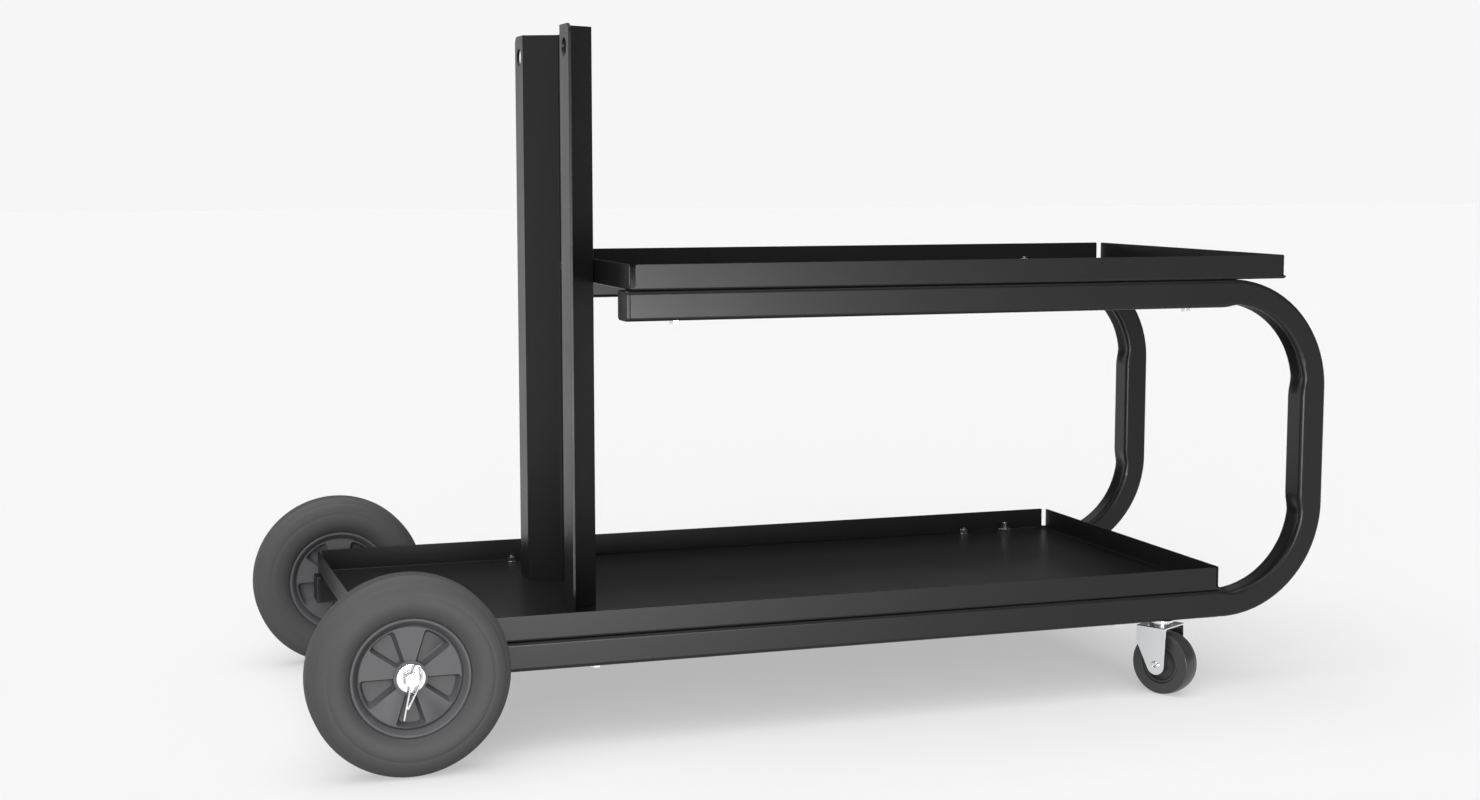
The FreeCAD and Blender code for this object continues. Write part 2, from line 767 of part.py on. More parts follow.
def caster_fork():
    half = fork_width / 2
    length = fork_length / 2
    bottom = caster_axle_z - fork_eye
    path = [
        Vector(-half, bottom - fork_z, 0), Vector(-half, 0, 0),
        Vector(half, 0, 0), Vector(half, bottom - fork_z, 0),
    ]
    channel = folded_strip(path, fork_sheet, fork_bend - fork_sheet).extrude(Vector(0, 0, fork_length))
    # the profile lies in (y, z); stand it up along X
    channel.Placement = Placement(
        Vector(-length, 0, fork_z), Rotation(Vector(0, 1, 0), Vector(0, 0, 1), Vector(1, 0, 0), "XYZ"))
    eye = Vector(caster_trail, 0, caster_axle_z)
    keep = leg_outline(eye, length).extrude(Vector(0, 2 * half + 2, 0))
    keep.translate(Vector(0, -half - 1, 0))
    fork = channel.common(keep)
    fork = fork.cut(rod(king_pin / 2 + running, Vector(0, 0, fork_z - 5), Vector(0, 0, fork_z + 1)))
    return fork.cut(rod(caster_bolt / 2 + thread_clearance, eye - Vector(0, half + 1, 0),
                        eye + Vector(0, half + 1, 0)))


def leg_outline(eye, length):
    """Side view of the legs: square top, straight front, sloped back, round eye."""
    skirt = Vector(-length, 0, fork_z - fork_skirt)
    to_eye = eye - skirt
    gap = to_eye.Length
    # tangent from the skirt corner to the eye circle
    base = math.atan2(to_eye.z, to_eye.x)
    spread = math.asin(fork_eye / gap)
    along = base - spread
    reach = math.sqrt(gap * gap - fork_eye * fork_eye)
    touch = skirt + Vector(math.cos(along), 0, math.sin(along)) * reach
    front = Vector(eye.x + fork_eye, 0, eye.z)
    bottom = eye - Vector(0, 0, fork_eye)
    top = fork_z + 1
    return Part.Face(Part.Wire([
        line(Vector(-length, 0, top), skirt),
        line(skirt, touch),
        arc(touch, bottom, front),
        line(front, Vector(length, 0, fork_z - fork_skirt)),
        line(Vector(length, 0, fork_z - fork_skirt), Vector(length, 0, top)),
        line(Vector(length, 0, top), Vector(-length, 0, top)),
    ]))


def caster_axle_parts():
    eye = Vector(caster_trail, 0, caster_axle_z)
    half = fork_width / 2
    out = Vector(0, 1, 0)
    face = eye - out * (half + caster_bolt_head_height)
    head = rod(caster_bolt_head / 2, face, eye - out * half)
    rim = [e for e in head.Edges if e.BoundBox.YMax < face.y + 1e-6]
    head = head.makeFillet(caster_bolt_head_height * 0.6, rim)
    cup_radius = (caster_bolt_cup ** 2 / 4 + caster_bolt_cup_depth ** 2) / (2 * caster_bolt_cup_depth)
    head = head.cut(Part.makeSphere(cup_radius, face - out * (cup_radius - caster_bolt_cup_depth)))
    past = half + screw_nut_height + 1.5
    bolt = head.fuse(rod(caster_bolt / 2, eye - out * half, eye + out * past))
    bore = caster_bolt / 2 + thread_clearance
    nut = hexagon(screw_head_flats, eye + out * half, eye + out * (half + screw_nut_height))
    nut = nut.cut(rod(bore, eye + out * half, eye + out * past))
    inside = half - fork_sheet
    sleeve = ring(caster_sleeve / 2, bore, eye - out * inside, eye + out * inside)
    return bolt, nut, sleeve


def caster_wheel_parts():
    """Core and moulded tread, about the wheel axis."""
    bore = caster_sleeve / 2 + running
    hub = fork_width / 2 - fork_sheet - caster_side_play
    wide = caster_width / 2
    core_radius = caster_core / 2
    lip = wide - 0.3
    web = wide - 4.5
    half = [
        (bore, hub), (bore + 3.6, hub), (bore + 4.4, web),
        (core_radius - caster_core_lip, web), (core_radius - caster_core_lip, lip), (core_radius, lip),
    ]
    core = revolved(half + [(r, -y) for r, y in reversed(half)])
    core = core.makeFillet(caster_core_lip * 0.45,
                           circles(core, lip, (core_radius - caster_core_lip, core_radius)))
    radius = caster_wheel / 2
    edge = radius - caster_crown
    seat = core_radius + seat_gap
    side = line(Vector(seat, wide, 0), Vector(edge, wide, 0))
    crown = arc(Vector(edge, wide, 0), Vector(radius, 0, 0), Vector(edge, -wide, 0))
    inner = line(Vector(seat, wide, 0), Vector(seat, -wide, 0))
    wire = Part.Wire([side, crown, side.mirror(Vector(), Vector(0, 1, 0)), inner])
    tyre = Part.Face(wire).revolve(Vector(), Vector(0, 1, 0), 360)
    return core, tyre


def place_caster(shape, sign):
    copy = shape.copy()
    copy.rotate(Vector(), Vector(0, 0, 1), caster_turn)
    copy.translate(Vector(caster_x, sign * rail_y, 0))
    return copy


# ---- the nodes ----
def build():
    nodes = {}
    frame = side_frame()
    upper_plug = rail_plug(upper_rear_x, upper_rail_top - tube / 2)
    lower_plug = rail_plug(lower_rear_x, axle_z)
    nodes["upper_rail_plugs"] = [upper_plug, mirrored(upper_plug)]
    nodes["lower_rail_plugs"] = [lower_plug, mirrored(lower_plug)]
    nodes["lower_tray"] = [lower_tray()]
    nodes["upper_tray"] = [upper_tray()]
    nodes["cylinder_post"] = [cylinder_post()]
    nodes.update(fasteners())
    nodes["rear_axle"] = [rear_axle()]
    nodes["axle_washers"] = axle_washers()
    nodes["axle_spacers"] = axle_spacers()
    pin = hairpin()
    hub, bush, tyre = rear_hub(), hub_bush(), rear_tyre()
    fork = caster_fork()
    bolt, nut, sleeve = caster_axle_parts()
    core, tread = caster_wheel_parts()
    eye = Vector(caster_trail, 0, caster_axle_z)
    for side, sign in SIDES.items():
        nodes["side_frame_" + side] = [on_side(frame, sign)]
        nodes["hairpin_cotter_" + side] = [on_side(pin, sign)]
        middle = across(sign * wheel_track / 2)
        nodes["rear_hub_" + side] = [moved(hub, middle)]
        nodes["rear_hub_bush_" + side] = [moved(bush, middle)]
        nodes["rear_tyre_" + side] = [moved(tyre, middle)]
        swivel = {
            "caster_stem": caster_stem(),
            "caster_stem_nut": stem_nut(),
            "caster_race": caster_race(),
            "caster_fork": fork,
            "caster_axle_bolt": bolt,
            "caster_axle_nut": nut,
            "caster_axle_sleeve": sleeve,
            "caster_core": moved(core, eye),
            "caster_tyre": moved(tread, eye),
        }
        for name, shape in swivel.items():
            nodes[name + "_" + side] = [place_caster(shape, sign)]
    return nodes


def main():
    os.makedirs("parts", exist_ok=True)
    for name, solids in build().items():
        shape = solids[0] if len(solids) == 1 else Part.makeCompound(solids)
        shape.exportStep(os.path.join("parts", name + ".step"))


main()
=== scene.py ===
"""Looks of a two-tray welding cart, laid out as an add-on.

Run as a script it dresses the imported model: each operator finishes one group of pieces, and the
last one sets the floor, the lights and the camera. Lengths are in metres.
"""

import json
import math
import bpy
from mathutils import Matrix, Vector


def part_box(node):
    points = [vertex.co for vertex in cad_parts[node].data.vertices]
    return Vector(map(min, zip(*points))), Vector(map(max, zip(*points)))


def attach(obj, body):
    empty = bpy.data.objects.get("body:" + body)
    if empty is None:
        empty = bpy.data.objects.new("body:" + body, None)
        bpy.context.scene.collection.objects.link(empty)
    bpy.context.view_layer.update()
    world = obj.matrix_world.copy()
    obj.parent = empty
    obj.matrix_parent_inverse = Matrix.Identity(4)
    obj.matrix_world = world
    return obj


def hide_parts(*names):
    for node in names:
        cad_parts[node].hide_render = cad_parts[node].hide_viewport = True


bl_info = {
    "name": "Welding cart looks",
    "version": (1, 0, 0),
    "blender": (4, 5, 0),
    "location": "3D View > Sidebar > Welding cart",
    "description": "Finishes a packed welding cart: paint, plating, rubber, plastics and the stage",
    "category": "Object",
}

import bpy
from mathutils import Vector

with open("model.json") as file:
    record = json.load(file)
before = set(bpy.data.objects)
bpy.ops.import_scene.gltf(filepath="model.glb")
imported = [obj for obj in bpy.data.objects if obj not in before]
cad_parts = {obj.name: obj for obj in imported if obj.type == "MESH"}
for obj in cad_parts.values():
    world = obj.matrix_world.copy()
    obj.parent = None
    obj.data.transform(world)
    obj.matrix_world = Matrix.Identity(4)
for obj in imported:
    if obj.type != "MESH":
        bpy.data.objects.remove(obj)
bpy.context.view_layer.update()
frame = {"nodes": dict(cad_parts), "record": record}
MM = 0.001
SIDES = ("left", "right")

# ---- modelling values ----
CORNER_REACH = 0.002 * MM             # corners of a solid closer than this are joined
RING_REACH = 0.005 * MM               # the same for corners of a turned ring
FLAT_TURN = math.radians(0.6)         # faces that turn less than this become one flat face
ROUNDED_TURN = math.radians(40.0)     # edges that turn more than this are rounded
EDGE_SEGMENTS = 2
LARGE_FACE_WEIGHT = 50                # even weights, so that large faces keep flat shading
HUB_CREASE = math.radians(32.0)       # edges that turn more than this stay sharp
TYRE_CREASE = math.radians(50.0)
TYRE_STEPS = 192                      # corners in each ring of a tyre

# Half of the tyre's section, as (radius, distance from the middle plane) in millimetres: from the
# seat in the rim over the side wall and the ribs of the shoulder to the middle of the tread.
TYRE_HALF = (
    (53.6, 8.0),
    (60.45, 16.2), (60.5, 17.6), (61.6, 18.9), (63.4, 20.4), (66.4, 22.3), (70.0, 23.6),
    (74.0, 24.3), (78.0, 24.45), (80.8, 24.15), (82.3, 23.7), (83.2, 23.3), (84.1, 23.35),
    (86.5, 23.0), (89.4, 22.1), (92.2, 20.9), (94.3, 19.6), (95.0, 18.8), (94.7, 18.1),
    (95.3, 17.4), (97.0, 16.9), (97.8, 16.1), (97.5, 15.3), (98.1, 14.7), (99.6, 13.9),
    (100.2, 13.0), (99.7, 12.2), (100.1, 11.6), (101.1, 10.8), (101.5, 9.8), (101.55, 6.6),
    (100.4, 6.2), (100.4, 5.0), (101.55, 4.6), (101.55, 1.3), (100.3, 0.8),
)

# ---- stage values ----
OVERHEAD_TILT = (math.radians(8.0), math.radians(-8.0), 0.0)
FRONT_DIRECTION = Vector((0.45, 1.0, -0.35))
SOFTBOX_PLACE = (-0.1, -2.4, 0.14)
SOFTBOX_TARGET = (-0.1, 0, 0.14)
SOFTBOX_SIZE = (1.2, 0.28)
CEILING_EDGE = (0.085, 0.15)          # heights on the unit sphere where the dark ceiling sets in
SCREEN_DIRECTION = (0.87, -0.5, 0.0)
SCREEN_EDGE = (0.45, 0.8)             # cosines from its middle where the dark screen sets in
PAPER_GLOW = 0.48                     # share of its own even light, where the paper is seen


# ---- settings ----
def colour_setting(name, description, shade):
    """Setting that holds an sRGB hex colour."""
    return bpy.props.StringProperty(name=name, description=description, default=shade)


def length_setting(name, description, value):
    """Setting that holds a length."""
    return bpy.props.FloatProperty(
        name=name, description=description, default=value, unit="LENGTH", min=0.0, precision=5)


def angle_setting(name, description, degrees):
    """Setting that holds an angle, given in degrees and kept in radians."""
    return bpy.props.FloatProperty(
        name=name, description=description, default=math.radians(degrees), subtype="ANGLE")


def strength_setting(name, description, value):
    """Setting that holds the strength of a light."""
    return bpy.props.FloatProperty(name=name, description=description, default=value, min=0.0)


class CartColours(bpy.types.PropertyGroup):
    """sRGB hex colours of the finishes and of the stage."""
    paint: colour_setting("Powder coat", "Black coat of tubes, trays and post", "#1f1f20")
    zinc: colour_setting("Zinc plate", "Bright plating of screws, washers and forks", "#e8e9ea")
    tyre: colour_setting("Tyre rubber", "Rubber of the rear tyres", "#525253")
    caster: colour_setting("Caster rubber", "Rubber of the caster wheels", "#3a3a3b")
    core: colour_setting("Caster core plastic", "Moulded plastic of the caster cores", "#3f3f41")
    hub: colour_setting("Hub plastic", "Moulded plastic of the rear hubs", "#606062")
    plug: colour_setting("Plug plastic", "Moulded end plugs of the tubes", "#202021")
    nylon: colour_setting("Nylon", "Bushes in the hubs", "#d8d4c6")
    background: colour_setting("Background", "Paper behind and under the cart", "#f7f7f7")
    bounced: colour_setting("Bounced", "The paper as it throws light on the cart", "#a8a8a8")
    ceiling: colour_setting("Ceiling", "Dark ceiling and screen, seen in gloss alone", "#585858")


class CartSizes(bpy.types.PropertyGroup):
    """Sizes of edges and finishes."""
    paint_grain: length_setting("Paint grain", "Width of the orange peel in the coat", 1.2 * MM)
    sheet_edge: length_setting("Sheet edge", "Rounding of sheared sheet edges", 0.35 * MM)
    moulded_edge: length_setting("Moulded edge", "Rounding of moulded edges", 0.6 * MM)
    turned_edge: length_setting(
        "Turned edge", "Rounding of turned and pressed small parts", 0.25 * MM)


class CartStage(bpy.types.PropertyGroup):
    """Camera, floor and light."""
    lens: bpy.props.FloatProperty(name="Lens", description="Focal length, mm", default=50.0)
    camera_place: bpy.props.FloatVectorProperty(
        name="Camera", description="Place of the camera", default=(-0.81295, -2.2482, 0.5969),
        subtype="TRANSLATION", unit="LENGTH")
    heading: angle_setting("Heading", "Turn of the view from +Y towards +X", 18.65)
    dip: angle_setting("Dip", "Tilt of the view below level", 6.35)
    floor_size: length_setting("Floor", "Width of the floor", 60.0)
    ambient: strength_setting("Ambient", "Even light of the room", 0.12)
    overhead: strength_setting("Overhead light", "Wide light from above", 2.4)
    overhead_spread: angle_setting("Overhead spread", "Angle that the light fills", 80.0)
    front: strength_setting("Front light", "Light from the camera's side, not seen in gloss", 1.75)
    front_spread: angle_setting("Front spread", "Angle that the light fills", 50.0)
    softbox: strength_setting("Softbox", "Watts of the box seen in gloss alone", 42.0)


# ---- modelling helpers ----
def body_of(node):
    """Name of the body that carries a CAD node."""
    bodies = frame["record"]["behaviour"]["bodies"]
    return next(body for body, nodes in bodies.items() if node in nodes)


def both(*names):
    """Each name for the left and for the right side."""
    return [name + "_" + side for name in names for side in SIDES]


def only(piece):
    """Makes the piece the one that operators act on."""
    bpy.ops.object.select_all(action="DESELECT")
    piece.select_set(True)
    bpy.context.view_layer.objects.active = piece


def hand_over(piece, name, material, *nodes):
    """Names a finished piece, and lets it stand for CAD nodes of one body."""
    piece.name = name
    piece.data.name = name
    piece.data.materials.clear()
    piece.data.materials.append(material)
    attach(piece, body_of(nodes[0]))
    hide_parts(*nodes)
    return piece


def smooth(piece, crease):
    """Smooth shading, broken at edges that turn more than the crease."""
    only(piece)
    bpy.ops.object.shade_smooth_by_angle(angle=crease)


def rounded_edges(piece, width):
    """Rounds every sharp edge, and weighs normals so that flat faces look flat."""
    only(piece)
    bpy.ops.object.shade_smooth()
    bpy.ops.object.modifier_add(type="BEVEL")
    bevel = piece.modifiers[-1]
    bevel.width = width
    bevel.segments = EDGE_SEGMENTS
    bevel.limit_method = "ANGLE"
    bevel.angle_limit = ROUNDED_TURN
    bevel.use_clamp_overlap = False
    bpy.ops.object.modifier_apply(modifier=bevel.name)
    bpy.ops.object.modifier_add(type="WEIGHTED_NORMAL")
    weighted = piece.modifiers[-1]
    weighted.mode = "FACE_AREA"
    weighted.weight = LARGE_FACE_WEIGHT
    bpy.ops.object.modifier_apply(modifier=weighted.name)


def merged_copy(node):
    """Copy of a CAD node with its corners joined and its flat faces whole."""
    source = frame["nodes"][node]
    piece = bpy.data.objects.new(node + "_dressed", source.data.copy())
    bpy.context.scene.collection.objects.link(piece)
    only(piece)
    bpy.ops.object.mode_set(mode="EDIT")
    bpy.ops.mesh.select_all(action="SELECT")
    bpy.ops.mesh.remove_doubles(threshold=CORNER_REACH)
    bpy.ops.mesh.dissolve_limited(angle_limit=FLAT_TURN, use_dissolve_boundaries=False)
    bpy.ops.object.mode_set(mode="OBJECT")
    return piece


def dress(nodes, material, edge):
    """Replaces each CAD node by its merged copy with rounded edges."""
    for node in nodes:
        piece = merged_copy(node)
        rounded_edges(piece, edge)
        hand_over(piece, node + "_dressed", material, node)


def turned(name, profile, centre, steps):
    """Ring turned about Y through (radius, y) points, closed back to its first point.

    The profile runs counter-clockwise seen with the radius to the right and y up.
    """
    bpy.ops.object.select_all(action="DESELECT")
    (radius, along), rest = profile[0], profile[1:] + profile[:1]
    start = Vector(centre) + Vector((0, along, 0))
    bpy.ops.mesh.primitive_circle_add(
        vertices=steps, radius=radius, location=start, rotation=(math.pi / 2, 0, 0))
    piece = bpy.context.object
    piece.name = name
    bpy.ops.object.transform_apply(location=True, rotation=True, scale=True)
    bpy.ops.object.mode_set(mode="EDIT")
    bpy.ops.mesh.select_all(action="SELECT")
    for next_radius, next_along in rest:
        step = (0, next_along - along, 0)
        bpy.ops.mesh.extrude_edges_move(TRANSFORM_OT_translate={"value": step})
        scale = next_radius / radius
        bpy.ops.transform.resize(
            value=(scale, 1, scale), center_override=Vector(centre) + Vector((0, next_along, 0)))
        radius, along = next_radius, next_along
    bpy.ops.mesh.select_all(action="SELECT")
    bpy.ops.mesh.remove_doubles(threshold=RING_REACH)
    bpy.ops.mesh.normals_make_consistent(inside=False)
    bpy.ops.object.mode_set(mode="OBJECT")
    return piece


def mirrored(piece, name):
    """Copy with its own mesh, mirrored across the middle plane."""
    only(piece)
    bpy.ops.object.duplicate()
    copy = bpy.context.object
    copy.name = name
    bpy.ops.object.mode_set(mode="EDIT")
    bpy.ops.mesh.select_all(action="SELECT")
    bpy.ops.transform.mirror(constraint_axis=(False, True, False), center_override=(0, 0, 0))
    bpy.ops.mesh.normals_make_consistent(inside=False)
    bpy.ops.object.mode_set(mode="OBJECT")
    return copy


def tyre_profile():
    """(radius, y) points of the tyre, in metres, once round its section."""
    other_half = [(radius, -along) for radius, along in reversed(TYRE_HALF)]
    return [(radius * MM, along * MM) for radius, along in [*TYRE_HALF, *other_half]]


# ---- materials ----
def linear(shade):
    """Linear colour of an sRGB hex value."""
    parts = [int(shade[k:k + 2], 16) / 255 for k in (1, 3, 5)]
    return [p / 12.92 if p <= 0.04045 else ((p + 0.055) / 1.055) ** 2.4 for p in parts] + [1.0]


def add_node(tree, kind, links=(), **settings):
    """Adds a node; links are (input, source socket), settings are attributes or input values."""
    node = tree.nodes.new(kind)
    for key, value in settings.items():
        if hasattr(node, key):
            setattr(node, key, value)
        else:
            node.inputs[key.replace("_", " ")].default_value = value
    for target, source in links:
        tree.links.new(source, node.inputs[target])
    return node


def new_material(name, shade, roughness, specular=0.5, metallic=0.0):
    """Material with its node tree, its shader and the Object coordinates."""
    material = bpy.data.materials.new(name)
    material.use_nodes = True
    tree = material.node_tree
    shader = tree.nodes["Principled BSDF"]
    shader.inputs["Base Color"].default_value = linear(shade)
    shader.inputs["Metallic"].default_value = metallic
    shader.inputs["Roughness"].default_value = roughness
    shader.inputs["Specular IOR Level"].default_value = specular
    place = add_node(tree, "ShaderNodeTexCoord").outputs["Object"]
    return material, tree, shader, place


def grain_bump(tree, shader, place, width, height):
    """Bump of a random grain, width and height in metres."""
    noise = add_node(tree, "ShaderNodeTexNoise", [("Vector", place)], Scale=1 / width, Detail=2.0)
    bump = add_node(tree, "ShaderNodeBump", [("Height", noise.outputs["Fac"])],
                    Strength=1.0, Distance=height)
    tree.links.new(bump.outputs["Normal"], shader.inputs["Normal"])


def cloudy_roughness(tree, shader, place, scale, detail, low, high):
    """Lets the roughness wander from low to high, in clouds of 1 / scale metres."""
    cloud = add_node(
        tree, "ShaderNodeTexNoise", [("Vector", place)], Scale=scale, Detail=detail)
    mapped = add_node(tree, "ShaderNodeMapRange", [("Value", cloud.outputs["Fac"])],
                      To_Min=low, To_Max=high)
    tree.links.new(mapped.outputs["Result"], shader.inputs["Roughness"])


def powder_coat(colours, sizes):
    """Polyester powder coat, sprayed and stoved: satin, with a faint orange peel."""
    material, tree, shader, place = new_material(
        "satin_powder_coat", colours.paint, roughness=0.36, specular=0.3)
    grain_bump(tree, shader, place, width=sizes.paint_grain, height=0.012 * MM)
    cloudy_roughness(tree, shader, place, scale=14.0, detail=3.0, low=0.32, high=0.4)
    return material


def zinc_plate(colours):
    """Bright zinc electroplate on steel: a clear mirror with a slightly milky haze."""
    material, tree, shader, place = new_material(
        "bright_zinc_plate", colours.zinc, roughness=0.18, metallic=1.0)
    cloudy_roughness(tree, shader, place, scale=180.0, detail=4.0, low=0.12, high=0.24)
    return material


def tyre_rubber(colours):
    """Vulcanised natural rubber from a steel mould: matt, greyish bloom, fine pitting."""
    material, tree, shader, place = new_material(
        "moulded_tyre_rubber", colours.tyre, roughness=0.62, specular=0.35)
    grain_bump(tree, shader, place, width=0.9 * MM, height=0.02 * MM)
    cloudy_roughness(tree, shader, place, scale=22.0, detail=4.0, low=0.56, high=0.7)
    return material


def caster_rubber(colours):
    """Thermoplastic rubber, injection moulded on the core: smooth with a soft sheen."""
    material, tree, shader, place = new_material(
        "moulded_caster_rubber", colours.caster, roughness=0.36, specular=0.6)
    grain_bump(tree, shader, place, width=0.6 * MM, height=0.012 * MM)
    return material


def moulded_plastic(name, shade):
    """Polypropylene moulded in a spark-eroded tool: even, fine and matt texture."""
    material, tree, shader, place = new_material(name, shade, roughness=0.55, specular=0.4)
    grain_bump(tree, shader, place, width=0.5 * MM, height=0.015 * MM)
    return material


def plug_plastic(colours):
    """Low-density polyethylene, moulded: waxy and slightly glossy."""
    material, tree, shader, place = new_material(
        "moulded_polyethylene", colours.plug, roughness=0.4, specular=0.4)
    grain_bump(tree, shader, place, width=0.8 * MM, height=0.012 * MM)
    return material


def nylon(colours):
    """Natural nylon, moulded: off-white, with a dull sheen."""
    material, tree, shader, place = new_material("moulded_nylon", colours.nylon, roughness=0.45)
    grain_bump(tree, shader, place, width=0.6 * MM, height=0.01 * MM)
    return material


# ---- groups of pieces ----
class CartOperator:
    """What the operators below share."""
    bl_options = {"REGISTER", "UNDO"}


class CART_OT_side_tubes(CartOperator, bpy.types.Operator):
    """Bent square side tubes with their crushed inner walls"""
    bl_idname = "cart.side_tubes"
    bl_label = "Side tubes"

    def execute(self, context):
        colours, sizes = context.scene.cart_colours, context.scene.cart_sizes
        dress(both("side_frame"), powder_coat(colours, sizes), sizes.sheet_edge)
        return {"FINISHED"}


class CART_OT_trays(CartOperator, bpy.types.Operator):
    """Folded trays and the gas cylinder post"""
    bl_idname = "cart.trays"
    bl_label = "Trays and post"

    def execute(self, context):
        colours, sizes = context.scene.cart_colours, context.scene.cart_sizes
        dress(["lower_tray", "upper_tray", "cylinder_post"],
              powder_coat(colours, sizes), sizes.sheet_edge)
        return {"FINISHED"}


class CART_OT_tube_plugs(CartOperator, bpy.types.Operator):
    """Moulded end plugs of the side tubes"""
    bl_idname = "cart.tube_plugs"
    bl_label = "Tube plugs"

    def execute(self, context):
        colours, sizes = context.scene.cart_colours, context.scene.cart_sizes
        dress(["upper_rail_plugs", "lower_rail_plugs"], plug_plastic(colours), sizes.moulded_edge)
        return {"FINISHED"}


class CART_OT_screws(CartOperator, bpy.types.Operator):
    """Plated screws, washers and nuts of the trays and the post"""
    bl_idname = "cart.screws"
    bl_label = "Screws"

    def execute(self, context):
        colours, sizes = context.scene.cart_colours, context.scene.cart_sizes
        nodes = [group + kind for group in ("lower_tray", "upper_tray", "post")
                 for kind in ("_screws", "_washers", "_nuts")]
        dress(nodes, zinc_plate(colours), sizes.turned_edge)
        return {"FINISHED"}


class CART_OT_rear_axle(CartOperator, bpy.types.Operator):
    """Plated rear axle, its washers and spacers, and the hairpin cotters"""
    bl_idname = "cart.rear_axle"
    bl_label = "Rear axle"

    def execute(self, context):
        colours, sizes = context.scene.cart_colours, context.scene.cart_sizes
        dress(["rear_axle", "axle_washers", "axle_spacers", *both("hairpin_cotter")],
              zinc_plate(colours), sizes.turned_edge)
        return {"FINISHED"}


class CART_OT_rear_hubs(CartOperator, bpy.types.Operator):
    """Five-spoke moulded hubs with their bushes"""
    bl_idname = "cart.rear_hubs"
    bl_label = "Rear hubs"

    def execute(self, context):
        colours, sizes = context.scene.cart_colours, context.scene.cart_sizes
        plastic = moulded_plastic("moulded_hub_polypropylene", colours.hub)
        hub = merged_copy("rear_hub_right")
        smooth(hub, HUB_CREASE)
        other = mirrored(hub, "rear_hub_other")
        hand_over(hub, "rear_hub_right_dressed", plastic, "rear_hub_right")
        hand_over(other, "rear_hub_left_dressed", plastic, "rear_hub_left")
        dress(both("rear_hub_bush"), nylon(colours), sizes.turned_edge)
        return {"FINISHED"}


class CART_OT_rear_tyres(CartOperator, bpy.types.Operator):
    """Ribbed tyres of the rear wheels"""
    bl_idname = "cart.rear_tyres"
    bl_label = "Rear tyres"

    def execute(self, context):
        rubber = tyre_rubber(context.scene.cart_colours)
        low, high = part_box("rear_tyre_right")
        tyre = turned("rear_tyre", tyre_profile(), (low + high) / 2, TYRE_STEPS)
        smooth(tyre, TYRE_CREASE)
        other = mirrored(tyre, "rear_tyre_other")
        hand_over(tyre, "rear_tyre_right_dressed", rubber, "rear_tyre_right")
        hand_over(other, "rear_tyre_left_dressed", rubber, "rear_tyre_left")
        return {"FINISHED"}


class CART_OT_casters(CartOperator, bpy.types.Operator):
    """Pressed forks of the casters with their races, stems and axles"""
    bl_idname = "cart.casters"
    bl_label = "Casters"

    def execute(self, context):
        colours, sizes = context.scene.cart_colours, context.scene.cart_sizes
        zinc = zinc_plate(colours)
        dress(both("caster_stem", "caster_stem_nut", "caster_race", "caster_axle_bolt",
                   "caster_axle_nut", "caster_axle_sleeve"), zinc, sizes.turned_edge)
        dress(both("caster_fork"), zinc, sizes.sheet_edge)
        return {"FINISHED"}


class CART_OT_caster_wheels(CartOperator, bpy.types.Operator):
    """Caster wheels: moulded core and rubber tread"""
    bl_idname = "cart.caster_wheels"
    bl_label = "Caster wheels"

    def execute(self, context):
        colours, sizes = context.scene.cart_colours, context.scene.cart_sizes
        plastic = moulded_plastic("moulded_core_polypropylene", colours.core)
        dress(both("caster_core"), plastic, sizes.moulded_edge)
        dress(both("caster_tyre"), caster_rubber(colours), sizes.moulded_edge)
        return {"FINISHED"}


# ---- stage ----
def hang(name, light, rotation):
    """Adds an object that carries the light."""
    lamp = bpy.data.objects.new(name, light)
    lamp.rotation_euler = rotation
    bpy.context.scene.collection.objects.link(lamp)
    return lamp


def wide_light(name, strength, spread, rotation):
    """Even light from one side, as soft as its spread is wide."""
    light = bpy.data.lights.new(name, "SUN")
    light.energy = strength
    light.angle = spread
    return hang(name, light, rotation)


def gloss_softbox(name, place, target, size, watts):
    """Rectangular lamp that shows as a soft reflection and lights nothing else."""
    light = bpy.data.lights.new(name, "AREA")
    light.shape = "RECTANGLE"
    light.size, light.size_y = size
    light.energy = watts
    towards = Vector(target) - Vector(place)
    lamp = hang(name, light, towards.to_track_quat("-Z", "Y").to_euler())
    lamp.location = place
    lamp.visible_diffuse = False
    return lamp


def seen_directly(tree):
    """1 for camera, glossy and transmission rays, 0 for the rays that light the scene."""
    rays = add_node(tree, "ShaderNodeLightPath")
    seen = add_node(tree, "ShaderNodeMath", [(0, rays.outputs["Is Camera Ray"]),
                                             (1, rays.outputs["Is Glossy Ray"])],
                    operation="MAXIMUM")
    return add_node(tree, "ShaderNodeMath", [(0, seen.outputs[0]),
                                             (1, rays.outputs["Is Transmission Ray"])],
                    operation="MAXIMUM").outputs[0]


